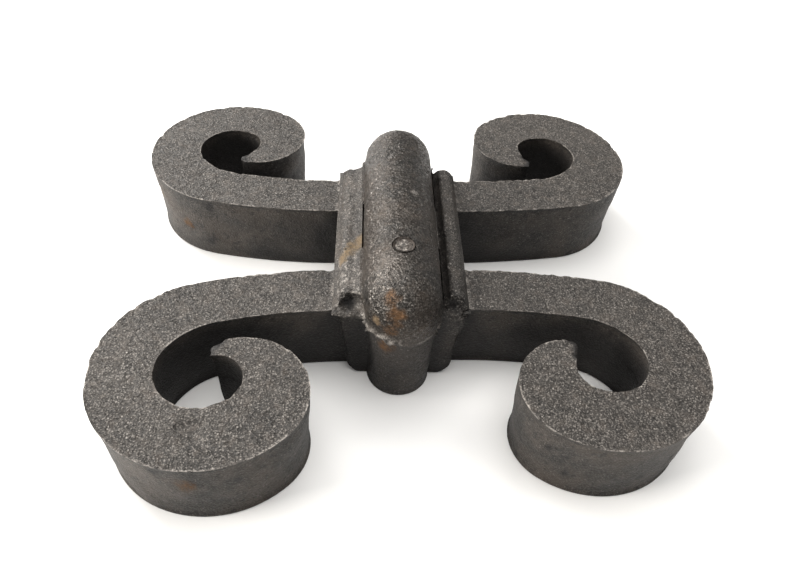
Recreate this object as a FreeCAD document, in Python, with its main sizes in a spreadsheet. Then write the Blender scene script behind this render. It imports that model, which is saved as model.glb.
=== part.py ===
import FreeCAD, Part
import math
import os
import Sketcher
from FreeCAD import Placement, Rotation, Vector

# A cast-iron strap hinge in ornamental form: two half hubs, each carrying two flat scroll arms,
# meet under a round barrel. The left leaf owns the two outer knuckles and the domed ends, the right
# leaf owns the middle knuckle. Frame: +Z up from the flat back, +Y along the barrel to its rear end,
# +X towards the right leaf. It is drawn with the pin axis over x = 0, then moved so that the origin
# is in the middle of its footprint. Millimetres.

DIMENSIONS = [
    # the two scroll arms of a leaf, seen from above
    ("arm_thickness", 16.0),      # flat back to flat top
    ("arm_draft", 2.5),           # degrees that the sides lean in towards the back
    ("arm_root_x", 11.9),         # where the arm starts to curve
    ("arm_tail", 3.0),            # straight stub inside the hub
    ("arm_inner_y", 8.7),         # edge that faces the other arm, at the hub
    ("arm_length", 27.1),         # length of the gently curved stretch
    ("arm_turn", 12.7),           # degrees that this stretch turns outwards
    ("back_radius", 19.1),        # outside of the scroll
    ("back_turn", 208.0),
    ("curl_radius", 10.9),        # outside of the curled end
    ("curl_turn", 168.7),
    ("arm_outer_y", 19.35),       # edge that faces the scroll's own curl, at the hub
    ("mouth_length", 21.9),       # its gently curved stretch
    ("mouth_turn", 11.9),
    ("throat_radius", 11.95),     # inside of the scroll, down to the tip
    ("throat_turn", 48.4),
    ("eye_radius", 7.15),
    ("eye_turn", 156.7),
    ("beak_radius", 4.35),
    ("beak_turn", 154.0),
    # the hub and its mouldings
    ("hub_half_length", 21.4),
    ("hub_half_width", 11.9),     # below the arms' top face, where the mould parts
    ("hub_base_half_width", 10.4),
    ("hub_base_round", 3.2),
    ("relief_half_width", 12.8),  # the upper mould overhangs the lower one
    ("relief_height", 3.4),
    ("relief_round", 2.4),        # how far its outer side curves in
    ("front_relief_slope", 3.2),  # how far each end of the relief leans back
    ("rear_relief_slope", 1.5),
    ("groove_near_x", 7.7),       # valley between barrel and right-hand bead
    ("groove_far_x", 8.45),
    ("groove_depth", 2.0),
    ("bead_round", 1.0),
    ("arms_offset_x", -0.5),      # the cross of arms sits a little askew on the hub
    ("arms_skew", 2.0),
    # the barrel
    ("axis_height", 19.5),
    ("barrel_radius", 7.4),
    ("dome_centre_y", 20.8),
    ("boss_base_radius", 6.1),    # drafted boss below each dome
    ("boss_draft", 3.8),
    ("knuckle_half_length", 6.4), # middle knuckle
    ("knuckle_gap", 0.12),        # end play between knuckles
    ("swing_gap", 0.2),           # air round a knuckle in the other leaf
    ("butt_gap", 0.15),           # between the two leaves' meeting faces
    # the pin and what it carries
    ("pin_radius", 3.0),
    ("pin_front_y", -17.0),
    ("pin_rear_y", 23.0),
    ("bush_outer_radius", 4.0),
    ("running_clearance", 0.05),
    ("washer_radius", 4.9),
    ("washer_thickness", 1.1),
    ("washer_recess", 1.0),
    ("recess_radius", 5.0),
    ("washer_clearance", 0.1),
    ("rivet_y", -13.3),
    ("rivet_head_radius", 2.0),
    ("rivet_shank_radius", 1.25),
    ("rivet_proud", 0.1),
]

# Each scroll was worked by hand on the pattern, so each differs: the size of its back and of its
# curl, the reach of its arm in millimetres, and how far it lifts outwards and winds up, in degrees.
SCROLLS = {
    "left_front": {"size": 1.035, "curl": 1.09, "reach": -0.4, "lift": 2.3, "wind": 2.6},
    "left_rear": {"size": 0.975, "curl": 0.985, "reach": 0.8, "lift": 0.8, "wind": -2.0},
    "right_front": {"size": 1.005, "curl": 0.985, "reach": -0.2, "lift": -0.5, "wind": -2.2},
    "right_rear": {"size": 0.98, "curl": 0.945, "reach": 0.1, "lift": -4.8, "wind": 1.5},
}

doc = FreeCAD.newDocument("scroll_hinge")
sheet = doc.addObject("Spreadsheet::Sheet", "sizes")


def fill_sheet():
    rows = list(DIMENSIONS)
    for scroll, traits in SCROLLS.items():
        rows += [(f"{scroll}_{trait}", value) for trait, value in traits.items()]
    for row, (alias, value) in enumerate(rows, start=1):
        sheet.set(f"A{row}", alias)
        sheet.set(f"B{row}", str(value))
        sheet.setAlias(f"B{row}", alias)
    doc.recompute()


def size(alias):
    return float(sheet.get(alias))


def bind(feature, **expressions):
    for field, expression in expressions.items():
        feature.setExpression(field, expression)


def cell(alias):
    return f"<<sizes>>.{alias}"


def new_body(name):
    body = doc.addObject("PartDesign::Body", name)
    body.Label = name
    body.Placement = Placement()
    return body


def plane_of(body, role):
    return next(item for item in body.Origin.OriginFeatures if item.Role == role)


def new_sketch(body, name, role, offset=Placement()):
    sketch = body.newObject("Sketcher::SketchObject", name)
    sketch.AttachmentSupport = [(plane_of(body, role), "")]
    sketch.MapMode = "FlatFace"
    sketch.AttachmentOffset = offset
    return sketch


def new_pad(body, sketch, name, length, midplane=False, taper=None, reverse=False):
    pad = body.newObject("PartDesign::Pad", name)
    pad.Profile = sketch
    pad.Midplane = midplane
    pad.Reversed = reverse
    bind(pad, Length=length)
    if taper:
        bind(pad, TaperAngle=taper)
    doc.recompute()
    return pad


# ---------- scroll arms ----------

def add_chain(sketch, start_y, arcs):
    """Tangent arcs from the hub outwards. Each arc is (radius formula, turn formula)."""
    x, y, heading = size("arm_root_x"), size(start_y), 0.0
    first = previous = None
    for radius_formula, turn_formula in arcs:
        radius = evaluate(radius_formula)
        turn = evaluate(turn_formula)
        centre = Vector(x - radius * math.sin(heading), y + radius * math.cos(heading), 0)
        begin = heading - math.pi / 2
        arc = Part.ArcOfCircle(Part.Circle(centre, Vector(0, 0, 1), radius),
                               begin, begin + math.radians(turn))
        here = sketch.addGeometry(arc, False)
        if previous is None:
            first = here
            limit(sketch, "DistanceX", (-1, 1, here, 1, x), cell("arm_root_x"))
            limit(sketch, "DistanceY", (-1, 1, here, 1, y), cell(start_y))
            sketch.addConstraint(Sketcher.Constraint("Vertical", here, 1, here, 3))
        else:
            sketch.addConstraint(Sketcher.Constraint("Tangent", previous, 2, here, 1))
        limit(sketch, "Radius", (here, radius), radius_formula)
        limit(sketch, "Angle", (here, math.radians(turn)), turn_formula + " * 1 deg")
        heading += math.radians(turn)
        x = centre.x + radius * math.sin(heading)
        y = centre.y - radius * math.cos(heading)
        previous = here
    return first, previous


def join(sketch, start, end):
    """Straight edge between two points, each given as (edge, which end of it)."""
    line = sketch.addGeometry(Part.LineSegment(sketch.getPoint(*start), sketch.getPoint(*end)), False)
    sketch.addConstraint(Sketcher.Constraint("Coincident", line, 1, *start))
    sketch.addConstraint(Sketcher.Constraint("Coincident", line, 2, *end))


def limit(sketch, kind, values, formula):
    index = sketch.addConstraint(Sketcher.Constraint(kind, *values))
    sketch.setExpression(f"Constraints[{index}]", formula)


def evaluate(formula):
    """The number that a sheet formula gives, for placing geometry before it is constrained."""
    probe = doc.getObject("probe") or doc.addObject("App::FeaturePython", "probe")
    if "value" not in probe.PropertiesList:
        probe.addProperty("App::PropertyFloat", "value")
    probe.setExpression("value", formula)
    probe.recompute()
    return probe.value


def scroll_arm(body, scroll, rotation, flipped):
    """One arm, drawn towards +X and +Y and turned about X, Y or Z into its own corner.

    The outline is the arm's top face, and the pad runs down from it to the back."""
    reach, back, curl, lift, wind = (
        cell(f"{scroll}_{trait}") for trait in ("reach", "size", "curl", "lift", "wind"))
    skew = Rotation(Vector(0, 0, 1), size("arms_skew"))
    top = Placement(Vector(size("arms_offset_x"), 0, size("arm_thickness")), skew * rotation)
    sketch = new_sketch(body, f"{scroll}_outline", "XY_Plane", top)
    arm_turn = f"({cell('arm_turn')} + {lift})"
    mouth_turn = f"({cell('mouth_turn')} + {lift})"
    outer = [
        (f"({cell('arm_length')} + {reach}) / ({arm_turn} * pi / 180)", arm_turn),
        (f"{cell('back_radius')} * {back}", f"({cell('back_turn')} - {lift} + {wind})"),
        (f"{cell('curl_radius')} * {curl}", cell("curl_turn")),
    ]
    inner = [
        (f"({cell('mouth_length')} + {reach}) / ({mouth_turn} * pi / 180)", mouth_turn),
        (f"{cell('throat_radius')} * {back}", f"({cell('throat_turn')} - {lift})"),
        (f"{cell('eye_radius')} * {curl}", f"({cell('eye_turn')} + {wind})"),
        (f"{cell('beak_radius')} * {curl}", cell("beak_turn")),
    ]
    outer_first, outer_last = add_chain(sketch, "arm_inner_y", outer)
    inner_first, inner_last = add_chain(sketch, "arm_outer_y", inner)
    join(sketch, (outer_last, 2), (inner_last, 2))
    stub = Vector(size("arm_tail"), 0, 0)
    outer_root, inner_root = sketch.getPoint(outer_first, 1), sketch.getPoint(inner_first, 1)
    outer_stub = sketch.addGeometry(Part.LineSegment(outer_root, outer_root - stub), False)
    inner_stub = sketch.addGeometry(Part.LineSegment(inner_root, inner_root - stub), False)
    for line, root in ((outer_stub, outer_first), (inner_stub, inner_first)):
        sketch.addConstraint(Sketcher.Constraint("Coincident", line, 1, root, 1))
        sketch.addConstraint(Sketcher.Constraint("Horizontal", line))
        limit(sketch, "Distance", (line, stub.x), cell("arm_tail"))
    join(sketch, (outer_stub, 2), (inner_stub, 2))
    doc.recompute()
    return new_pad(body, sketch, f"{scroll}_arm", cell("arm_thickness"),
                   taper=f"-{cell('arm_draft')}", reverse=not flipped)


# ---------- hub ----------

# How far in from its corner the middle of a rounding lies, as a share of its radius.
TIGHT_ROUND = 0.3
SLACK_ROUND = 0.35


def end_name(way):
    return "front" if way < 0 else "rear"


def add_outline(sketch, points):
    """Closed outline. A point (x, y, middle_x, middle_y) is reached by an arc through its middle."""
    here = Vector(points[-1][0], points[-1][1], 0)
    for point in points:
        there = Vector(point[0], point[1], 0)
        if len(point) == 4:
            edge = Part.Arc(here, Vector(point[2], point[3], 0), there)
        else:
            edge = Part.LineSegment(here, there)
        sketch.addGeometry(edge, False)
        here = there


def half_hub(body, side):
    """Moulded half of the hub, from the butt line outwards. side is -1 for left, 1 for right."""
    sketch = new_sketch(body, f"{body.Name}_hub_section", "XZ_Plane")
    base, wall, ledge = size("hub_base_half_width"), size("hub_half_width"), size("relief_half_width")
    parting, crown = size("arm_thickness"), size("arm_thickness") + size("relief_height")
    foot, shoulder, bead = size("hub_base_round"), size("relief_round"), size("bead_round")
    butt = size("butt_gap") / 2
    outline = [
        (butt, 0),
        (base - foot, 0),
        (base, foot, base - foot * TIGHT_ROUND, foot * TIGHT_ROUND),
        (wall, parting),
        (ledge, parting),
        (ledge - shoulder, crown,
         ledge - shoulder * SLACK_ROUND, crown - (crown - parting) * SLACK_ROUND),
    ]
    if side > 0:
        near, far, floor = size("groove_near_x"), size("groove_far_x"), crown - size("groove_depth")
        outline += [(far + bead, crown)]
        outline += [(far, crown - bead, far + bead * TIGHT_ROUND, crown - bead * TIGHT_ROUND)]
        outline += [((near + far) / 2, floor), (near, crown)]
    outline += [(butt, crown)]
    add_outline(sketch, [tuple(v if i % 2 else side * v for i, v in enumerate(p)) for p in outline])
    new_pad(body, sketch, f"{body.Name}_hub", f"2 * {cell('hub_half_length')}", midplane=True)
    lean_ends(body)


def lean_ends(body):
    """Slopes the relief back at both ends, down to the parting line."""
    sketch = new_sketch(body, f"{body.Name}_end_slopes", "YZ_Plane")
    end, parting = size("hub_half_length"), size("arm_thickness")
    crown, spare = parting + size("relief_height"), 2.0
    for way in (-1, 1):
        lean = size(f"{end_name(way)}_relief_slope") * (1 + spare / size("relief_height"))
        corners = [(end, parting), (end + spare, parting), (end + spare, crown + spare),
                   (end - lean, crown + spare)]
        add_outline(sketch, [(way * y, z) for y, z in corners])
    cut = body.newObject("PartDesign::Pocket", f"{body.Name}_end_lean")
    cut.Profile = sketch
    cut.Type = "ThroughAll"
    cut.Midplane = True
    doc.recompute()


def across(y):
    """A cylinder's placement on the barrel axis, running towards +Y from y."""
    return Placement(Vector(0, y, size("axis_height")), Rotation(Vector(1, 0, 0), -90))


def primitive(body, kind, name, placement, **sizes):
    feature = body.newObject(f"PartDesign::{kind}", name)
    feature.AttachmentSupport = [(plane_of(body, "XY_Plane"), "")]
    feature.MapMode = "FlatFace"
    feature.AttachmentOffset = placement
    bind(feature, **sizes)
    doc.recompute()
    return feature


def solid_cylinder(body, name, y, length, radius):
    return primitive(body, "AdditiveCylinder", name, across(y), Radius=radius, Height=length)


def bored(body, name, y, length, radius):
    return primitive(body, "SubtractiveCylinder", name, across(y), Radius=radius, Height=length)


def end_boss(body, way):
    """Drafted boss from the back up to the barrel axis, round at its outer end."""
    name = end_name(way)
    sketch = new_sketch(body, f"{name}_boss_outline", "XY_Plane")
    radius, centre = size("boss_base_radius"), way * size("dome_centre_y")
    inner = centre - way * 2 * radius
    add_outline(sketch, [
        (-radius, inner), (-radius, centre), (radius, centre, 0, centre + way * radius), (radius, inner)])
    new_pad(body, sketch, f"{name}_boss", cell("axis_height"), taper=cell("boss_draft"))


def outer_knuckle(body, way):
    """Outer knuckle of the left leaf, ending in a dome."""
    name = end_name(way)
    centre, inner = size("dome_centre_y"), size("knuckle_half_length") + size("knuckle_gap")
    length = f"{cell('dome_centre_y')} - {cell('knuckle_half_length')} - {cell('knuckle_gap')}"
    start = inner if way > 0 else -centre
    solid_cylinder(body, f"{name}_knuckle", start, length, cell("barrel_radius"))
    dome_at = Placement(Vector(0, way * centre, size("axis_height")), Rotation())
    primitive(body, "AdditiveSphere", f"{name}_dome", dome_at, Radius=cell("barrel_radius"))


# ---------- sub-parts ----------

def left_leaf():
    body = new_body("left_leaf")
    half_hub(body, -1)
    for way in (-1, 1):
        end_boss(body, way)
    clear_right_half(body)
    for way in (-1, 1):
        outer_knuckle(body, way)
    inner = size("knuckle_half_length") + size("knuckle_gap")
    middle = f"2 * ({cell('knuckle_half_length')} + {cell('knuckle_gap')})"
    swing = f"{cell('barrel_radius')} + {cell('swing_gap')}"
    bored(body, "middle_seat", -inner, middle, swing)
    scroll_arm(body, "left_front", Rotation(Vector(0, 0, 1), 180), flipped=False)
    scroll_arm(body, "left_rear", Rotation(Vector(0, 1, 0), 180), flipped=True)
    front = size("pin_front_y")
    past_the_dome = size("dome_centre_y") + size("barrel_radius") + 1
    bored(body, "pin_bore", front, str(past_the_dome - front), cell("pin_radius"))
    recess = size("washer_recess")
    for name, start in (("front_recess", -inner - recess), ("rear_recess", inner)):
        bored(body, name, start, cell("washer_recess"), cell("recess_radius"))
    at_rivet = Placement(Vector(0, size("rivet_y"), size("axis_height")), Rotation())
    primitive(body, "SubtractiveCylinder", "rivet_hole", at_rivet,
              Radius=cell("rivet_head_radius"), Height=f"2 * {cell('barrel_radius')}")
    return body


def clear_right_half(body):
    """Takes the bosses away from the right leaf's side, between the hub's two ends."""
    corner = Vector(-size("butt_gap") / 2, -size("hub_half_length") - size("butt_gap"), -1)
    primitive(body, "SubtractiveBox", "right_side_clearance", Placement(corner, Rotation()),
              Length=f"2 * {cell('hub_half_width')}",
              Width=f"2 * ({cell('hub_half_length')} + {cell('butt_gap')})",
              Height=f"2 * {cell('axis_height')}")


def right_leaf():
    body = new_body("right_leaf")
    half_hub(body, 1)
    middle = f"2 * {cell('knuckle_half_length')}"
    half = size("knuckle_half_length")
    seat = f"{cell('hub_half_length')} + 1 - {cell('knuckle_half_length')}"
    swing = f"{cell('barrel_radius')} + {cell('swing_gap')}"
    bored(body, "front_seat", -size("hub_half_length") - 1, seat, swing)
    bored(body, "rear_seat", half, seat, swing)
    solid_cylinder(body, "middle_knuckle", -half, middle, cell("barrel_radius"))
    scroll_arm(body, "right_front", Rotation(Vector(1, 0, 0), 180), flipped=True)
    scroll_arm(body, "right_rear", Rotation(), flipped=False)
    bored(body, "bush_bore", -half, middle, cell("bush_outer_radius"))
    return body


def ring(name, y, length, outer, inner):
    body = new_body(name)
    solid_cylinder(body, f"{name}_blank", y, length, outer)
    bored(body, f"{name}_hole", y, length, inner)
    return body


def knuckle_bush():
    bore = f"{cell('pin_radius')} + {cell('running_clearance')}"
    return ring("knuckle_bush", -size("knuckle_half_length"), f"2 * {cell('knuckle_half_length')}",
                cell("bush_outer_radius"), bore)


def thrust_washer(name, way):
    inner = size("knuckle_half_length") + size("knuckle_gap")
    bottom = inner + size("washer_recess")
    start = -bottom if way < 0 else bottom - size("washer_thickness")
    hole = f"{cell('pin_radius')} + {cell('washer_clearance')}"
    return ring(name, start, cell("washer_thickness"), cell("washer_radius"), hole)


def hinge_pin():
    body = new_body("hinge_pin")
    length = f"{cell('pin_rear_y')} - {cell('pin_front_y')}"
    solid_cylinder(body, "pin_shank", size("pin_front_y"), length, cell("pin_radius"))
    below = Vector(0, size("rivet_y"), size("axis_height") - size("pin_radius") - 1)
    primitive(body, "SubtractiveCylinder", "pin_cross_hole", Placement(below, Rotation()),
              Radius=cell("rivet_shank_radius"), Height=f"2 * ({cell('pin_radius')} + 1)")
    return body


def pin_lock_rivet():
    """Stepped rivet: its shank crosses the pin, and its head closes flush with the barrel."""
    centre = Vector(0, size("rivet_y"), size("axis_height"))
    shank = doc.addObject("Part::Cylinder", "rivet_shank")
    shank.Placement = Placement(centre - Vector(0, 0, size("pin_radius")), Rotation())
    bind(shank, Radius=cell("rivet_shank_radius"), Height=f"2 * {cell('pin_radius')}")
    neck = doc.addObject("Part::Cylinder", "rivet_neck")
    neck.Placement = Placement(centre, Rotation())
    bind(neck, Radius=cell("rivet_head_radius"), Height=f"2 * {cell('barrel_radius')}")
    outside = doc.addObject("Part::Cylinder", "rivet_outside")
    along_barrel = f"2 * {cell('barrel_radius')}"
    outside.Placement = across(size("rivet_y") - size("barrel_radius"))
    bind(outside, Radius=f"{cell('barrel_radius')} + {cell('rivet_proud')}", Height=along_barrel)
    pin_space = doc.addObject("Part::Cylinder", "rivet_pin_space")
    pin_space.Placement = outside.Placement
    bind(pin_space, Radius=cell("pin_radius"), Height=along_barrel)
    head_blank = boolean("Part::Common", "rivet_head_blank", neck, outside)
    head = boolean("Part::Cut", "rivet_head", head_blank, pin_space)
    rivet = boolean("Part::Fuse", "pin_lock_rivet", head, shank)
    rivet.Label = "pin_lock_rivet"
    return rivet


def rear_bore_plug():
    """Closes the bore behind the pin, with an end that follows the rear dome."""
    stub = doc.addObject("Part::Cylinder", "plug_stub")
    stub.Placement = across(size("pin_rear_y"))
    bind(stub, Radius=cell("pin_radius"), Height=f"2 * {cell('barrel_radius')}")
    ball = doc.addObject("Part::Sphere", "plug_ball")
    ball.Placement = Placement(Vector(0, size("dome_centre_y"), size("axis_height")), Rotation())
    bind(ball, Radius=cell("barrel_radius"))
    plug = boolean("Part::Common", "rear_bore_plug", stub, ball)
    plug.Label = "rear_bore_plug"
    return plug


def boolean(kind, name, base, tool):
    result = doc.addObject(kind, name)
    result.Base = base
    result.Tool = tool
    doc.recompute()
    return result


def centre_footprint(sub_parts):
    """Moves every sub-part so that the origin is in the middle of the footprint, on the back."""
    box = FreeCAD.BoundBox()
    for sub_part in sub_parts:
        box.add(sub_part.Shape.BoundBox)
    shift = Vector(-box.Center.x, -box.Center.y, 0)
    for sub_part in sub_parts:
        sub_part.Placement = Placement(shift, Rotation())
    doc.recompute()
    print(f"pin axis over x {shift.x:.3f}, middle of the hub at y {shift.y:.3f}")


def check_and_write(sub_parts):
    failed = [item.Name for item in doc.Objects if {"Invalid", "Error"} & set(item.State)]
    if failed:
        raise RuntimeError(f"failed features: {failed}")
    os.makedirs("parts", exist_ok=True)
    for sub_part in sub_parts:
        shape = sub_part.Shape
        if shape.isNull() or not shape.isValid() or not shape.Solids:
            raise RuntimeError(f"{sub_part.Label} is not a valid solid")
        box = shape.BoundBox
        print(f"{sub_part.Label}: {len(shape.Solids)} solid, {shape.Volume:.1f} mm3, "
              f"x {box.XMin:.2f}..{box.XMax:.2f} y {box.YMin:.2f}..{box.YMax:.2f} "
              f"z {box.ZMin:.2f}..{box.ZMax:.2f}")
        shape.exportStep(f"parts/{sub_part.Label}.step")


fill_sheet()
made = [
    left_leaf(),
    right_leaf(),
    hinge_pin(),
    pin_lock_rivet(),
    rear_bore_plug(),
    knuckle_bush(),
    thrust_washer("front_thrust_washer", -1),
    thrust_washer("rear_thrust_washer", 1),
]
centre_footprint(made)
check_and_write(made)
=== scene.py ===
import math

import bpy
import numpy as np
from mathutils import Matrix, Vector, noise
from mathutils.bvhtree import BVHTree


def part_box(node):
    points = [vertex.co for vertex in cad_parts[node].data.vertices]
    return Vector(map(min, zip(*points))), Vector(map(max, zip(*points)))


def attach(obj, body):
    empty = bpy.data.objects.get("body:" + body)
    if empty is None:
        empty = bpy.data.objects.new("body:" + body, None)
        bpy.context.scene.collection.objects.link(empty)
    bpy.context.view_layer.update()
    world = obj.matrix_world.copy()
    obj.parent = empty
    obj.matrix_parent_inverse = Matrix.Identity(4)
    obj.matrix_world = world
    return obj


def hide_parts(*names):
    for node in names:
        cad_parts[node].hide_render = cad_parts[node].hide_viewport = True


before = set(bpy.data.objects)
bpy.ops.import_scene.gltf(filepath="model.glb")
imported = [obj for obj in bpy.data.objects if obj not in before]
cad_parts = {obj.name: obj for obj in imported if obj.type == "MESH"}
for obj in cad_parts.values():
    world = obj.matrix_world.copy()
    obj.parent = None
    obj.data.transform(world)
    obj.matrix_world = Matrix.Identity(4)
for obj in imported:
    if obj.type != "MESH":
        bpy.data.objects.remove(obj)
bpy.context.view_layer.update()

# A cast-iron scroll hinge: the two castings get a rough sand-cast skin over the frame's shapes, and
# the pin, its bush and washers keep the frame's shapes. Lengths here are in millimetres from the
# middle of the hub, on the floor, and become metres where they reach the mesh.

MM = 0.001
PIN_LOW, PIN_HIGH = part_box("hinge_pin")
PIN_MIDDLE_Y = 3.0
HUB = Vector(((PIN_LOW.x + PIN_HIGH.x) / 2, (PIN_LOW.y + PIN_HIGH.y) / 2 - PIN_MIDDLE_Y * MM, 0))
AXIS_Z = (PIN_LOW.z + PIN_HIGH.z) / 2 / MM

ARM_TOP = 16.0            # flat top of the arms, where the mould parted
BARREL_RADIUS = 7.4
SEAT_RADIUS = 7.6         # the hollow that a knuckle turns in
SPLIT_Y = 6.46            # middle of the thin gaps between knuckles
HUB_HALF_LENGTH = 21.4
RELIEF_HALF_WIDTH = 12.8


# ---------- view and light ----------

CAMERA_AT = Vector((-7.42, -102.57, 108.46))
LOOK_DOWN = math.radians(45.90)
LOOK_RIGHT = math.radians(4.68)
HEAD_TILT = math.radians(4.62)
LENS_MM = 30.70
FILM_WIDTH_MM = 36.0
NEAREST_SEEN = 1.0

SKY = (1.0, 0.99, 0.975, 1)
SKY_STRENGTH = 0.39
# Each lamp has a name, a place and a width in metres, a power in watts and a colour.
LAMPS = [
    ("window_lamp", (-0.62, 0.75, 0.52), 0.50, 12.6, (1.0, 0.985, 0.96)),
    ("ceiling_lamp", (0.10, 0.10, 0.95), 0.90, 9.3, (1.0, 0.98, 0.95)),
    ("side_lamp", (-1.00, -0.14, 0.30), 0.50, 17.0, (1.0, 0.96, 0.90)),
]


def place_camera():
    ahead = Vector((math.sin(LOOK_RIGHT) * math.cos(LOOK_DOWN),
                    math.cos(LOOK_RIGHT) * math.cos(LOOK_DOWN), -math.sin(LOOK_DOWN)))
    level = Vector((math.cos(LOOK_RIGHT), -math.sin(LOOK_RIGHT), 0))
    upright = level.cross(ahead)
    right = level * math.cos(HEAD_TILT) + upright * math.sin(HEAD_TILT)
    up = upright * math.cos(HEAD_TILT) - level * math.sin(HEAD_TILT)
    data = bpy.data.cameras.new("camera")
    data.lens = LENS_MM
    data.sensor_width = FILM_WIDTH_MM
    data.clip_start = NEAREST_SEEN * MM
    camera = bpy.data.objects.new("camera", data)
    turn = Matrix((right, up, -ahead)).transposed()
    camera.matrix_world = Matrix.Translation(HUB + CAMERA_AT * MM) @ turn.to_4x4()
    bpy.context.scene.collection.objects.link(camera)
    bpy.context.scene.camera = camera


def soft_lamp(name, at, width, watts, colour):
    data = bpy.data.lights.new(name, "AREA")
    data.size = width
    data.energy = watts
    data.color = colour
    lamp = bpy.data.objects.new(name, data)
    lamp.location = at
    lamp.rotation_euler = (-Vector(at)).to_track_quat("-Z", "Y").to_euler()
    bpy.context.scene.collection.objects.link(lamp)


def light_the_room():
    world = bpy.data.worlds.new("studio")
    world.use_nodes = True
    background = world.node_tree.nodes["Background"]
    background.inputs["Color"].default_value = SKY
    background.inputs["Strength"].default_value = SKY_STRENGTH
    bpy.context.scene.world = world
    for lamp in LAMPS:
        soft_lamp(*lamp)
    bpy.context.scene.view_settings.view_transform = "Standard"


# ---------- shader maths ----------

class Level:
    """One node's output in a material, on which + - and * add Math nodes."""

    def __init__(self, finish, socket):
        self.finish = finish
        self.socket = socket

    def maths(self, operation, first, second):
        return self.finish.node("ShaderNodeMath", {"operation": operation}, {0: first, 1: second})

    def __add__(self, other):
        return self.maths("ADD", self, other)

    def __radd__(self, other):
        return self.maths("ADD", other, self)

    def __sub__(self, other):
        return self.maths("SUBTRACT", self, other)

    def __rsub__(self, other):
        return self.maths("SUBTRACT", other, self)

    def __mul__(self, other):
        return self.maths("MULTIPLY", self, other)

    def __rmul__(self, other):
        return self.maths("MULTIPLY", other, self)


class Finish:
    """A material under construction, around its one shader."""

    def __init__(self, name):
        self.material = bpy.data.materials.new(name)
        self.material.use_nodes = True
        self.tree = self.material.node_tree
        self.shader = self.tree.nodes["Principled BSDF"]
        self.place = self.node("ShaderNodeTexCoord", {}, {}, "Object")

    def node(self, kind, settings, inputs, output=0):
        """Adds a node: its settings first, then its sockets' values or links."""
        made = self.tree.nodes.new(kind)
        for field, value in settings.items():
            setattr(made, field, value)
        for socket, value in inputs.items():
            self.feed(made.inputs[socket], value)
        return Level(self, made.outputs[output])

    def feed(self, socket, value):
        """Links an output to a socket, or sets the socket to a plain value."""
        if isinstance(value, Level):
            self.tree.links.new(value.socket, socket)
        else:
            socket.default_value = value

    def shade(self, **inputs):
        """Sets the shader's own sockets; an underscore in a name stands for a space."""
        for name, value in inputs.items():
            self.feed(self.shader.inputs[name.replace("_", " ")], value)

    def mottle(self, grain, detail, roughness=0.5):
        """Soft noise from 0 to 1 whose patches are about a grain wide, in millimetres."""
        sizes = {"Vector": self.place, "Scale": 1 / (grain * MM), "Detail": detail,
                 "Roughness": roughness}
        return self.node("ShaderNodeTexNoise", {}, sizes)

    def cells(self, grain, output):
        """Crystals a grain wide: a colour for each one, or the distance from its middle."""
        sizes = {"Vector": self.place, "Scale": 1 / (grain * MM)}
        return self.node("ShaderNodeTexVoronoi", {}, sizes, output)

    def between(self, low, high, value):
        """0 below low, 1 above high, smooth between."""
        inputs = {"Value": value, "From Min": low, "From Max": high}
        return self.node("ShaderNodeMapRange", {"interpolation_type": "SMOOTHSTEP"}, inputs)

    def blend(self, share, first, second):
        """First colour where share is 0, second where it is 1."""
        inputs = {"Factor": share, 6: first, 7: second}
        return self.node("ShaderNodeMix", {"data_type": "RGBA"}, inputs, 2)

    def carried(self, name):
        """How far each point is covered by one of the masks the mesh carries: rubbing, dirt, painted
        shade and painted highlight.
        """
        settings = {"attribute_type": "GEOMETRY", "attribute_name": name}
        return self.node("ShaderNodeAttribute", settings, {}, "Fac")

    def tilted(self, amount, grain):
        """The surface normal, tipped a different way on each tiny crystal."""
        facing = self.node("ShaderNodeNewGeometry", {}, {}, "Normal")
        colour = self.cells(grain, "Color")
        centred = self.node("ShaderNodeVectorMath", {"operation": "SUBTRACT"},
                            {0: colour, 1: (0.5, 0.5, 0.5)})
        tip = self.node("ShaderNodeVectorMath", {"operation": "SCALE"},
                        {0: centred, "Scale": amount})
        summed = self.node("ShaderNodeVectorMath", {"operation": "ADD"}, {0: facing, 1: tip})
        return self.node("ShaderNodeVectorMath", {"operation": "NORMALIZE"}, {0: summed})

    def bumped(self, height, depth, normal=None):
        """Depth in millimetres for a height that runs from 0 to 1."""
        inputs = {"Height": height, "Distance": depth * MM, "Strength": 1.0}
        if normal:
            inputs["Normal"] = normal
        return self.node("ShaderNodeBump", {}, inputs)


# ---------- finishes ----------

CRYSTAL = 0.40          # width of one crystal
IRON_RELIEF = 0.20      # how deep the bump of each metal's grain goes
STEEL_RELIEF = 0.01
BRASS_RELIEF = 0.008
DARK_IRON = (0.010, 0.009, 0.008, 1)
GREY_IRON = (0.068, 0.060, 0.053, 1)
BROWN_SKIN = (0.060, 0.046, 0.036, 1)
BRIGHT_GRAIN_AND_HIGHLIGHT = (0.37, 0.34, 0.31, 1)
RUST = (0.108, 0.048, 0.012, 1)
CLAY = (0.150, 0.108, 0.064, 1)
STAIN_AND_SHADE = (0.006, 0.005, 0.005, 1)
STEEL = (0.42, 0.42, 0.43, 1)
STEEL_STAIN = (0.16, 0.13, 0.11, 1)
BRASS = (0.62, 0.43, 0.17, 1)
TARNISH = (0.23, 0.14, 0.06, 1)
PAPER = (0.90, 0.90, 0.89, 1)
PALER_PAPER = (0.93, 0.93, 0.93, 1)


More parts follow.
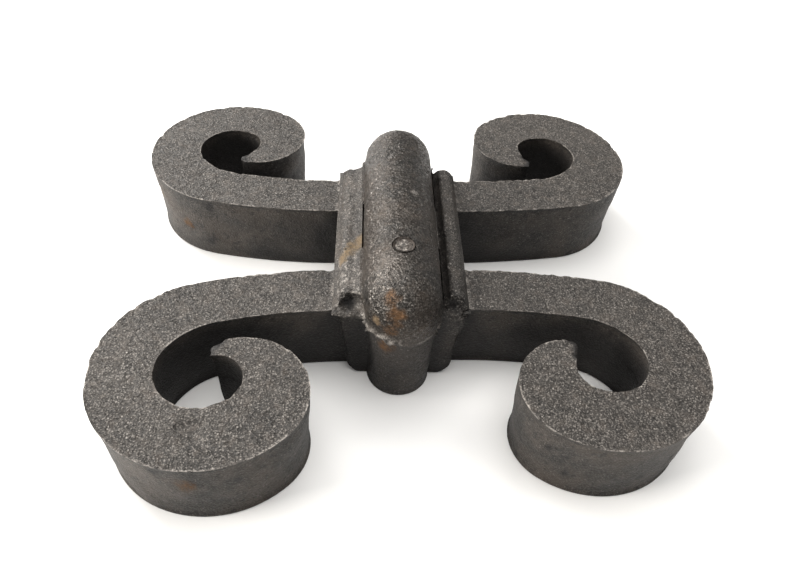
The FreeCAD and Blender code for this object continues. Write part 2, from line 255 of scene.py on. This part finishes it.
def sand_cast_iron(name):
    """Grey iron as it left the sand: crystals on the open faces, smoother brown skin on the walls."""
    finish = Finish(name)
    coarse = finish.carried("coarse")
    barrel = finish.carried("barrel")
    fine_grain = finish.mottle(0.26, 2.0, 0.6)
    patches = finish.mottle(2.2, 3.0, 0.6)
    clouds = finish.mottle(11.0, 3.0, 0.55)
    crystal = finish.cells(CRYSTAL, "Color")
    crystal_shape = finish.cells(CRYSTAL, "Distance")
    chance = finish.node("ShaderNodeSeparateColor", {}, {0: crystal})
    glint = finish.between(0.80, 0.97, chance) * finish.between(0.62, 0.20, crystal_shape)
    speck = finish.between(0.53, 0.68, fine_grain)
    painted_highlight = finish.carried("painted_highlight")

    tone = finish.between(0.32, 0.68, fine_grain * 0.55 + patches * 0.27 + clouds * 0.18)
    wall_tone = finish.between(0.41, 0.60, fine_grain * 0.35 + patches * 0.40 + clouds * 0.25)
    tone = tone * (coarse * 0.8 + 0.2) + wall_tone * (0.44 - coarse * 0.44)
    # The barrel's iron is darker; a painted highlight brightens it at the front of the dome.
    colour = finish.blend(tone * (1 - barrel * 0.52 + painted_highlight * 1.7), DARK_IRON, GREY_IRON)
    skin = (1 - coarse) * finish.between(0.36, 0.66, clouds) * 0.6
    skin = skin + coarse * finish.between(0.52, 0.68, patches) * 0.3
    skin = skin + barrel * finish.between(0.40, 0.58, clouds) * 0.30
    colour = finish.blend(skin, colour, BROWN_SKIN)
    pits = finish.between(0.60, 0.70, finish.mottle(1.3, 1.0)) * (1 - coarse) * 0.85
    colour = finish.blend(pits, colour, DARK_IRON)
    # Painted glints on some crystals, with bright grain specks.
    sparkle = (glint * 0.62 + speck * 0.38) * (coarse * 0.82 + 0.18) * (1 - barrel * 0.25)
    colour = finish.blend(sparkle, colour, BRIGHT_GRAIN_AND_HIGHLIGHT)
    # Painted highlight on the lit edges, together with iron rubbed bright.
    edge = finish.carried("edge") * finish.between(0.32, 0.56, fine_grain)
    colour = finish.blend(edge * 0.8, colour, BRIGHT_GRAIN_AND_HIGHLIGHT)
    # Painted shade in sheltered places, under the rims and on low walls, together with dark stains.
    colour = finish.blend(finish.carried("stain_and_shade") * 0.95, colour, STAIN_AND_SHADE)
    rust = finish.carried("rust") * finish.between(0.30, 0.62, patches * 0.5 + fine_grain * 0.5)
    colour = finish.blend(rust * 0.85, colour, RUST)
    clay = finish.carried("clay") * finish.between(0.30, 0.50, fine_grain)
    colour = finish.blend(clay, colour, CLAY)

    dull = rust * 0.25 + clay * 0.3
    roughness = 0.57 - glint * coarse * 0.24 + patches * 0.10 + dull - barrel * 0.19 - painted_highlight * 0.18
    height = fine_grain * 0.6 + crystal_shape * 0.4
    facets = finish.tilted(coarse * 0.46 + 0.16, CRYSTAL)
    finish.shade(Base_Color=colour, Roughness=roughness, Metallic=(0.35 + barrel * 0.35) * (1 - dull))
    finish.shade(Normal=finish.bumped(height, IRON_RELIEF, facets))
    return finish.material


def turned_steel(name):
    finish = Finish(name)
    streaks = finish.mottle(0.6, 4.0, 0.6)
    stain = finish.between(0.45, 0.75, finish.mottle(3.0, 3.0))
    colour = finish.blend(stain, STEEL, STEEL_STAIN)
    finish.shade(Base_Color=colour, Metallic=0.95, Roughness=0.26 + streaks * 0.2 + stain * 0.15)
    finish.shade(Normal=finish.bumped(streaks, STEEL_RELIEF))
    return finish.material


def worn_brass(name):
    finish = Finish(name)
    tarnish = finish.between(0.38, 0.72, finish.mottle(1.6, 4.0, 0.6))
    scuffs = finish.mottle(0.25, 2.0)
    colour = finish.blend(tarnish, BRASS, TARNISH)
    finish.shade(Base_Color=colour, Metallic=0.9, Roughness=0.28 + tarnish * 0.22 + scuffs * 0.1)
    finish.shade(Normal=finish.bumped(scuffs, BRASS_RELIEF))
    return finish.material


def matt_paper(name):
    finish = Finish(name)
    tint = finish.blend(finish.mottle(60.0, 2.0), PAPER, PALER_PAPER)
    finish.shade(Base_Color=tint, Roughness=0.9)
    return finish.material


# ---------- castings ----------

CASTING_DETAIL = 8      # steps of the even mesh: one more halves its squares
SMALL_DETAIL = 6
MESH_SCALE = 0.89       # how much of that mesh's grid a piece fills
CREASE = math.radians(48)
SOFT_ROUNDS = 12
SHADE_ROUNDS = 12
LUMPS = ((0.7, 1), (1.2, 2), (2.6, 3), (8.0, 4))        # how wide each kind of lump is, and its seed
BORE_SIDE = 6.8         # a face nearer the pin's axis than this belongs to the bore
SEAT_SWELL = 0.17       # how far a knuckle's seat comes in towards the knuckle
GAP_CLOSING = 0.75      # share of the gap between knuckles that their skins take up
RAY_START = 0.15
RAY_REACH = 45.0

# Where each curled end is cut short: its place seen from above, and which way along x it points,
# or 0 where it is only rounded.
BEAK_HALF_WIDTH = 2.7
BEAK_LENGTH = 5.0
BEAK_CUT = 0.88
LEFT_BEAKS = [((-35.2, 26.5), -1), ((-33.4, -27.6), 0)]
RIGHT_BEAKS = [((31.1, -27.2), 1), ((31.0, 28.6), 1)]

# Each mark has a kind, a place on the surface, and how far it reaches round that place.
LEFT_MARKS = [
    ("rust", (-2.5, -25.0, 25.0), 1.7),
    ("rust", (-1.5, -27.0, 22.5), 2.0),
    ("rust", (-2.5, -28.0, 19.5), 1.7),
    ("rust", (-3.5, -27.0, 13.5), 2.0),
    ("rust", (-5.5, -26.0, 20.0), 1.1),
    ("clay", (-5.5, -26.0, 20.0), 1.1),
    ("clay", (-11.6, -8.2, 18.5), 1.6),
    ("clay", (-10.4, -6.7, 19.2), 1.6),
    ("clay", (-9.1, -5.6, 19.4), 1.8),
    ("clay", (-7.9, -4.5, 19.4), 1.6),
    ("rust", (-33.5, -52.0, 10.8), 1.6),
    ("stain_and_shade", (-32.3, -52.0, 11.6), 1.1),
    ("stain_and_shade", (-38.0, -51.5, 14.0), 1.2),
    ("stain_and_shade", (-25.9, -50.7, 10.5), 0.9),
    ("rust", (-46.0, 13.2, 6.6), 1.6),
    ("stain_and_shade", (-45.2, 12.6, 6.3), 1.1),
    ("stain_and_shade", (-40.2, 10.6, 14.0), 1.5),
    ("stain_and_shade", (-40.9, 11.3, 3.8), 1.2),
    ("clay", (-52.5, 19.3, 10.7), 1.3),
    # Painted shade in the ragged hollow at the front of the left moulding.
    ("stain_and_shade", (-9.9, -19.8, 18.0), 1.9),
]
RIGHT_MARKS = [
    # Painted shade in the ragged hollow at the front of the right moulding.
    ("stain_and_shade", (9.3, -19.9, 17.9), 1.7),
    ("stain_and_shade", (23.8, -44.3, 10.3), 0.9),
    ("stain_and_shade", (26.8, -45.6, 10.0), 0.9),
    ("stain_and_shade", (27.5, -46.5, 5.0), 1.1),
    ("stain_and_shade", (40.5, -47.0, 5.0), 1.0),
    ("edge", (2.5, 2.0, 26.5), 0.8),
]

# Each ragged hollow has a place, a width and a depth.
HOLLOWS = [
    ((-9.9, -19.4, 18.4), 2.3, 1.3),
    ((9.4, -19.9, 18.0), 1.9, 1.0),
    ((13.2, -21.6, 16.6), 2.6, 1.0),
    ((-33.2, -45.0, ARM_TOP), 3.0, 0.45),
]
SHINE_AT = (-3.0, -19.8)        # where the highlight is painted on the front of the barrel, seen from above
SHINE_SIZE = (3.2, 4.0)


def lumps(points, width, seed):
    """Smooth noise from 0 to 1 at each point, with lumps of that width."""
    shift = Vector((seed * 7.31, seed * 3.17, seed * 5.53))
    return np.array([noise.noise(Vector(p) / width + shift) for p in points]) * 0.5 + 0.5


def rise(value, low, high):
    """0 below low, 1 above high, smooth between, for arrays."""
    t = np.clip((value - low) / (high - low), 0, 1)
    return t * t * (3 - 2 * t)


def near(points, at, width, ragged):
    """1 at a place, 0 beyond a ragged outline round it."""
    away = np.linalg.norm(points - np.array(at), axis=1) / width
    return rise(1.25 - away + (ragged - 0.5) * 1.1, 0.0, 0.9)


def even_skin(node, name, detail):
    """A fine even mesh over a node's shape, keeping its creases."""
    blank = bpy.data.objects.new(name + "_blank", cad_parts[node].data)
    bpy.context.scene.collection.objects.link(blank)
    remesh = blank.modifiers.new("even", "REMESH")
    remesh.mode = "SHARP"
    remesh.octree_depth = detail
    remesh.scale = MESH_SCALE
    remesh.use_remove_disconnected = False
    depsgraph = bpy.context.evaluated_depsgraph_get()
    mesh = bpy.data.meshes.new_from_object(blank.evaluated_get(depsgraph))
    mesh.name = name
    bpy.data.objects.remove(blank)
    piece = bpy.data.objects.new(name, mesh)
    bpy.context.scene.collection.objects.link(piece)
    return piece


def read_vectors(items, field):
    """One row of x, y and z for each item."""
    flat = np.empty(len(items) * 3, np.float32)
    items.foreach_get(field, flat)
    return flat.reshape(-1, 3).astype(float)


def hub_points(mesh):
    """The mesh's points in millimetres from the middle of the hub."""
    return read_vectors(mesh.vertices, "co") / MM - np.array(HUB) / MM


def put_back(mesh, p):
    """Moves the mesh's points to these places, given in hub millimetres."""
    mesh.vertices.foreach_set("co", (p * MM + np.array(HUB)).ravel())


def carry(mesh, name, values):
    """Stores one of the per-vertex masks of rubbing, dirt, painted shade and painted highlight."""
    layer = mesh.attributes.new(name, "FLOAT", "POINT")
    layer.data.foreach_set("value", values.astype(np.float32))


def sheltered(points, normals, tree):
    """How far other iron hides the sky from each point, 0 to 1, from a fixed fan of rays."""
    fan = [Vector((math.cos(turn) * math.cos(lift), math.sin(turn) * math.cos(lift), math.sin(lift)))
           for lift in (math.radians(8), math.radians(32), math.radians(60))
           for turn in np.arange(0, 2 * math.pi, math.pi / 5) + lift]
    hidden = np.zeros(len(points))
    for number, (point, normal) in enumerate(zip(points, normals)):
        start = Vector(point + normal * RAY_START)
        facing = [ray for ray in fan if ray.dot(Vector(normal)) > 0.05]
        blocked = sum(tree.ray_cast(start, ray, RAY_REACH)[0] is not None for ray in facing)
        hidden[number] = blocked / max(len(facing), 1)
    return hidden


def spread(values, edges, rounds):
    """Evens values out between neighbouring vertices."""
    a, b = edges.T
    links = np.bincount(a, minlength=len(values)) + np.bincount(b, minlength=len(values)) + 1
    for _ in range(rounds):
        total = values + np.bincount(a, values[b], len(values)) + np.bincount(b, values[a], len(values))
        values = total / links
    return values


def iron_tree():
    """Both leaves' shapes in hub millimetres, for finding what stands over what."""
    corners, faces = [], []
    for node in ("left_leaf", "right_leaf"):
        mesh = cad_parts[node].data
        first = len(corners)
        corners += [(v.co - HUB) / MM for v in mesh.vertices]
        faces += [[first + i for i in face.vertices] for face in mesh.polygons]
    return BVHTree.FromPolygons(corners, faces)


def skin_depth(p, rough_face):
    """How far the cast skin lies below the frame's shape, and the four kinds of lump behind it."""
    fine, grit, rough, broad = (lumps(p, width, seed) for width, seed in LUMPS)
    depth = 0.02 + (0.06 + 0.06 * rough_face) * fine + (0.04 + 0.05 * rough_face) * grit
    return depth + 0.08 * rough + 0.12 * broad, fine, grit, rough, broad


def hollowed(p, ragged, fine):
    """Depth of the ragged hollows."""
    depth = np.zeros(len(p))
    for at, width, deep in HOLLOWS:
        away = np.linalg.norm((p - np.array(at)) * (0.85, 1.0, 1.0), axis=1) / width
        hole = 1 - rise(away + 0.7 * (ragged - 0.5), 0.35, 0.95)
        depth += deep * hole * (0.75 + 0.5 * fine)
    return depth


def softened(p, edges, where, rounds):
    """Rounds the creases off where the mask says, by evening each point out with its neighbours."""
    evened = np.stack([spread(column, edges, rounds) for column in p.T], 1)
    return p + (evened - p) * where[:, None]


def blunted(p, beaks):
    """Cuts curled ends short: beyond its limit along x, a beak keeps only a small nub."""
    near_beak = np.zeros(len(p))
    for (x, y), way in beaks:
        close = (np.abs(p[:, 1] - y) < BEAK_HALF_WIDTH) & (np.abs(p[:, 0] - x) < BEAK_LENGTH)
        over = np.clip((p[:, 0] - x) * way, 0, None) * close
        p[:, 0] -= way * over * BEAK_CUT
        away = np.hypot(p[:, 0] - x, p[:, 1] - y)
        near_beak = np.maximum(near_beak, 1 - rise(away, 1.8, 3.2))
    return p, near_beak


def settle(mesh, p, wear_and_light):
    """Puts the moved points back, with the masks they carry, painted light among them, and keeps the
    creases crisp.
    """
    put_back(mesh, p)
    for kind, values in wear_and_light.items():
        carry(mesh, kind, np.clip(values, 0, 1))
    mesh.polygons.foreach_set("use_smooth", np.ones(len(mesh.polygons), bool))
    mesh.set_sharp_from_angle(angle=CREASE)
    mesh.update()


def hub_share(x):
    """1 within the hub's mouldings, 0 out on the arms."""
    return 1 - rise(np.abs(x), RELIEF_HALF_WIDTH - 0.1, RELIEF_HALF_WIDTH + 0.3)


def soften_casting(mesh, edges, beaks):
    """Blunts the beaks and rounds the mouldings, and gives the new points in hub millimetres."""
    p, soft = blunted(hub_points(mesh), beaks)
    x, y, z = p.T
    upper = hub_share(x) * rise(z, ARM_TOP + 0.3, ARM_TOP + 1.0)
    left = rise(-x, 6.6, 7.3) * ~((np.abs(y) < SPLIT_Y + 0.8) & (x > -SEAT_RADIUS - 1.0))
    right = 0.5 * rise(x, SEAT_RADIUS + 0.5, SEAT_RADIUS + 1.2)
    p = softened(p, edges, np.maximum(soft, upper * np.maximum(left, right)), SOFT_ROUNDS)
    put_back(mesh, p)
    mesh.update()
    return p


class Skin:
    """A casting's points and the way they face, the lumps there, and masks of where they lie."""

    def __init__(self, mesh, points):
        self.points = points
        self.normals = read_vectors(mesh.vertices, "normal")
        x, y, z = points.T
        self.up = self.normals[:, 2]
        self.from_axis = np.hypot(x, z - AXIS_Z)
        self.on_hub = hub_share(x)
        above = np.maximum(rise(z, ARM_TOP + 1, ARM_TOP + 2), np.abs(y) < HUB_HALF_LENGTH - 0.5)
        outside_seat = rise(self.from_axis, BARREL_RADIUS + 0.05, SEAT_RADIUS - 0.05)
        self.on_barrel = above * (1 - outside_seat)
        self.inside = (self.from_axis < BORE_SIDE) & (np.abs(y) < HUB_HALF_LENGTH)
        self.wall = 1 - rise(np.abs(self.up), 0.3, 0.8)
        self.top = rise(self.up, 0.5, 0.9)
        self.below = ARM_TOP - z
        lumpy = skin_depth(points, np.maximum(self.top, self.on_hub))
        self.depth, self.fine, self.grit, self.rough, self.broad = lumpy
        rising = rise(z, ARM_TOP - 0.5, ARM_TOP - 0.1)
        self.chipped = rising * (1 - rise(z, ARM_TOP + 0.05, ARM_TOP + 0.3))
        self.front = self.on_hub * rise(-y, HUB_HALF_LENGTH - 0.6, HUB_HALF_LENGTH + 0.2)
        wander = 2.4 * (self.rough - 0.5) + 1.4 * (self.grit - 0.5) + 0.7 * (self.fine - 0.5)
        self.mould_line = ARM_TOP + 0.3 + wander
        self.leftness = rise(-x, -2.5, 3.0)
        beside_barrel = rise(np.abs(x), 7.5, 7.62)
        self.relief = self.on_hub * rise(z, ARM_TOP + 0.4, ARM_TOP + 1.0) * beside_barrel
        self.left = x < 0


def tear_rims(skin):
    """The arms' rims stand a little proud of the walls, with a torn lower edge and small chips."""
    torn = 0.2 + 0.5 * skin.grit + 0.4 * skin.rough
    under_rim = skin.wall * rise(skin.below, torn, torn + 0.3)
    skin.depth += 0.22 * under_rim * rise(skin.broad, 0.30, 0.55)
    rim = skin.chipped * rise(1 - np.abs(skin.up), 0.1, 0.3) * (1 - skin.on_hub)
    chips = rise(skin.grit * 0.6 + skin.rough * 0.4, 0.5, 0.72)
    skin.depth += rim * (0.20 * chips + 0.06 * skin.fine)


def draw_mould_line(skin):
    """The ragged line round the front dome and across the front ends of the mouldings."""
    x, y, z = skin.points.T
    line = skin.mould_line
    under_line = skin.front * (1 - rise(z, line - 0.9, line - 0.4))
    skin.depth += under_line * (0.06 + 0.56 * skin.leftness) * rise(z, 0, 5)
    dome = skin.on_hub * rise(-y, HUB_HALF_LENGTH - 3.0, HUB_HALF_LENGTH + 3.5)
    skin.depth += dome * rise(z, line + 0.3, line + 0.8) * (0.04 + 0.38 * skin.leftness)
    beside = skin.front * rise(np.abs(x), 7.0, 7.8) * rise(z, ARM_TOP - 0.6, ARM_TOP)
    skin.depth += beside * (0.40 * skin.grit + 0.35 * skin.fine + 0.25 * skin.rough - 0.25)


def crumble_mouldings(skin):
    """The mouldings are rough on the left, where they flow into the barrel, and cleaner opposite."""
    fillet = (1 - rise(-skin.points[:, 0], SEAT_RADIUS, SEAT_RADIUS + 1.8)) * skin.top
    crumbly = 0.42 * skin.rough + 0.34 * skin.grit + 0.16 * skin.fine - 0.45 * fillet
    skin.depth += skin.relief * skin.left * crumbly
    skin.depth += skin.relief * ~skin.left * (0.12 * skin.rough + 0.10 * skin.grit)


def fitted_shift(skin):
    """Turns depth into movement that keeps the knuckles' fit, the bore and the flat back.

    The knuckles' ends move only towards each other, and their seats close in a little.
    """
    x, y, z = skin.points.T
    on_seat = np.abs(skin.from_axis - SEAT_RADIUS) < 0.08
    seat = on_seat & (np.abs(skin.normals[:, 1]) < 0.5) & (z > 12)
    depth = np.where(seat, -SEAT_SWELL, skin.depth)
    depth = np.where(skin.inside, 0.0, depth)
    shift = skin.normals * depth[:, None]
    at_split = np.abs(np.abs(y) - SPLIT_Y) < 0.12
    split = at_split & (skin.from_axis < BARREL_RADIUS + 0.05) & ~skin.inside
    radial = np.stack([x, np.zeros(len(x)), z - AXIS_Z], 1) / skin.from_axis[:, None]
    to_split = (SPLIT_Y - np.abs(y)) * np.sign(y) * GAP_CLOSING
    closing = np.stack([np.zeros(len(x)), to_split, np.zeros(len(x))], 1)
    shift = np.where(split[:, None], radial * depth[:, None] - closing, shift)
    shift *= (0.4 + 0.6 * rise(z, 0.0, 0.8))[:, None]
    shift[:, 2] *= rise(z, 0.0, 0.3)
    return shift


def edge_wear_and_highlight(skin):
    """Painted highlight along lit edges, with iron broken and rubbed bright: torn rims, the mould line,
    ledges and crumbs.
    """
    x, y, z = skin.points.T
    fine, grit, rough, broad = skin.fine, skin.grit, skin.rough, skin.broad
    torn = rise(rough * 0.4 + grit * 0.3 + broad * 0.3, 0.44, 0.56)
    torn_edge = skin.chipped * rise(1 - np.abs(skin.up), 0.05, 0.25) * torn
    broken = rise(fine * 0.6 + grit * 0.4, 0.38, 0.58)
    on_line = np.exp(-((z - skin.mould_line) / 0.5) ** 2)
    ridge = skin.front * on_line * skin.leftness * broken
    at_ledge = np.exp(-((z - ARM_TOP - 0.2) / 0.5) ** 2)
    ledge = skin.front * skin.wall * at_ledge * (np.abs(x) > 7.0) * 0.7 * grit
    crumbly = rise(fine * 0.5 + grit * 0.5, 0.52, 0.62)
    crumbs = skin.relief * skin.left * rise(-y, 2.0, 14.0) * crumbly * 0.62
    return np.maximum.reduce([torn_edge, ridge, ledge, crumbs])


def painted_shade(skin, shelter):
    """Painted shade: darkening in sheltered places, at the moulding's foot, under the rims and on the
    hub's low walls.
    """
    x, _, z = skin.points.T
    foot = np.exp(-((x - RELIEF_HALF_WIDTH - 0.2) / 0.35) ** 2)
    right_gap = foot * skin.top * (np.abs(skin.below) < 0.4)
    under_lip = rise(skin.below, 0.2, 0.5) * (1 - rise(skin.below, 0.6, 1.3))
    lip_shade = skin.wall * (1 - skin.on_hub) * under_lip
    lip_shade *= 0.25 + 0.9 * rise(skin.broad * 0.5 + skin.rough * 0.5, 0.35, 0.60)
    upper = skin.on_hub * rise(z, ARM_TOP, ARM_TOP + 1.0)
    hidden = rise(shelter, 0.12, 0.50) * (0.92 - 0.52 * upper)
    low_wall = skin.on_hub * skin.wall * (1 - rise(z, ARM_TOP - 1.0, ARM_TOP))
    lower_hub = low_wall * (0.25 + 0.35 * skin.rough)
    return np.maximum.reduce([hidden, right_gap * (0.4 + 0.4 * skin.fine), lip_shade * 0.8, lower_hub])


def wear_and_light_on(skin, marks, edges, tree):
    """How far each kind of rubbing, dirt, painted shade and painted highlight covers each point."""
    wear_and_light = {kind: np.zeros(len(skin.points)) for kind in ("rust", "clay", "stain_and_shade", "edge")}
    for kind, at, width in marks:
        wear_and_light[kind] = np.maximum(wear_and_light[kind], near(skin.points, at, width, skin.grit))
    wear_and_light["edge"] = np.maximum(wear_and_light["edge"], edge_wear_and_highlight(skin))
    # The shelter found by the rays becomes painted shade.
    shelter = spread(sheltered(skin.points, skin.normals, tree), edges, SHADE_ROUNDS)
    wear_and_light["stain_and_shade"] = np.maximum(wear_and_light["stain_and_shade"], painted_shade(skin, shelter))
    wear_and_light["coarse"] = 0.12 + 0.88 * skin.top + 0.5 * skin.on_barrel + 0.22 * skin.on_hub
    wear_and_light["barrel"] = skin.on_barrel
    # A painted highlight on the front of the barrel, where the dome catches the light.
    across = (skin.points[:, 0] - SHINE_AT[0]) / SHINE_SIZE[0]
    along = (skin.points[:, 1] - SHINE_AT[1]) / SHINE_SIZE[1]
    wear_and_light["painted_highlight"] = skin.on_barrel * np.exp(-(across ** 2 + along ** 2))
    return wear_and_light


def roughen(piece, marks, beaks, tree):
    """Turns an even skin into a sand casting: almost nothing moves outwards, so the size stays."""
    mesh = piece.data
    edges = np.array([edge.vertices for edge in mesh.edges])
    skin = Skin(mesh, soften_casting(mesh, edges, beaks))
    skin.depth += skin.on_barrel * 0.07 * skin.fine
    tear_rims(skin)
    draw_mould_line(skin)
    crumble_mouldings(skin)
    skin.depth += hollowed(skin.points, skin.grit, skin.fine)
    settle(mesh, skin.points - fitted_shift(skin), wear_and_light_on(skin, marks, edges, tree))


def shown_instead(piece, node, slot, body):
    """Shows a piece in iron in place of the frame's own, and lets it move with its body."""
    piece.data.materials.clear()
    piece.data.materials.append(sand_cast_iron(slot))
    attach(piece, body)
    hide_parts(node)


def casting(node, marks, beaks, slot, body, tree):
    piece = even_skin(node, node + "_casting", CASTING_DETAIL)
    roughen(piece, marks, beaks, tree)
    shown_instead(piece, node, slot, body)


def rivet():
    """The rivet's head was hammered down rough, so it sits a little below the barrel's skin."""
    piece = even_skin("pin_lock_rivet", "rivet_head", SMALL_DETAIL)
    normals = read_vectors(piece.data.vertices, "normal")
    p = hub_points(piece.data)
    _, fine, grit, rough, _ = skin_depth(p, 1.0)
    low, high = (np.array(corner - HUB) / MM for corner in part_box("pin_lock_rivet"))
    crown = rise(p[:, 2], high[2] - 1.6, high[2] - 0.4)
    from_middle = np.hypot(p[:, 0] - (low[0] + high[0]) / 2, p[:, 1] - (low[1] + high[1]) / 2)
    rim = rise(from_middle, 1.5, 1.9)
    beaten = 0.14 + 0.26 * fine + 0.26 * grit + 0.14 * rough + 0.04 * rim
    depth = crown * np.where(normals[:, 2] > 0.3, beaten, 0.10 * grit)
    none = np.zeros(len(p))
    # A darker ring round the crown's rim, and bright grains on the crown.
    wear_and_light = {"stain_and_shade": crown * rim * 0.45, "edge": crown * rise(fine, 0.4, 0.7) * (1 - rim),
            "coarse": crown, "rust": 0.25 * crown * rough, "clay": none, "barrel": none, "painted_highlight": none}
    settle(piece.data, p - normals * depth[:, None], wear_and_light)
    shown_instead(piece, "pin_lock_rivet", "rivet_iron", "fixed_leaf")


def bore_plug():
    """The plug that closes the rear dome carries on the dome's skin."""
    piece = even_skin("rear_bore_plug", "bore_plug", SMALL_DETAIL)
    normals = read_vectors(piece.data.vertices, "normal")
    p = hub_points(piece.data)
    depth, fine, _, rough, _ = skin_depth(p, 1.0)
    outside = rise(normals[:, 1], 0.1, 0.4)
    none = np.zeros(len(p))
    wear_and_light = {"stain_and_shade": 0.3 * rough, "edge": 0.2 * fine, "coarse": 0.6 * outside, "rust": 0.5 * rough,
            "clay": none, "barrel": outside, "painted_highlight": none}
    settle(piece.data, p - normals * (depth * outside)[:, None], wear_and_light)
    shown_instead(piece, "rear_bore_plug", "rivet_iron", "fixed_leaf")


def refinish(node, material):
    """Gives a piece that keeps the frame's shape its own finish."""
    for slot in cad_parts[node].material_slots:
        slot.material = material


FLOOR_WIDTH_M = 6
FLOOR_GAP = 0.2         # so that the floor and the casting's flat back aren't in one plane


def lay_floor():
    bpy.ops.mesh.primitive_plane_add(size=FLOOR_WIDTH_M)
    floor = bpy.context.object
    floor.name = "floor"
    floor.location.z = -FLOOR_GAP * MM
    floor.data.materials.append(matt_paper("floor_paper"))


place_camera()
light_the_room()
lay_floor()
iron = iron_tree()
casting("left_leaf", LEFT_MARKS, LEFT_BEAKS, "left_casting", "fixed_leaf", iron)
casting("right_leaf", RIGHT_MARKS, RIGHT_BEAKS, "right_casting", "swing_leaf", iron)
rivet()
bore_plug()
refinish("hinge_pin", turned_steel("pin_steel"))
refinish("knuckle_bush", worn_brass("bush_brass"))
washer_brass = worn_brass("washer_brass")
refinish("front_thrust_washer", washer_brass)
refinish("rear_thrust_washer", washer_brass)
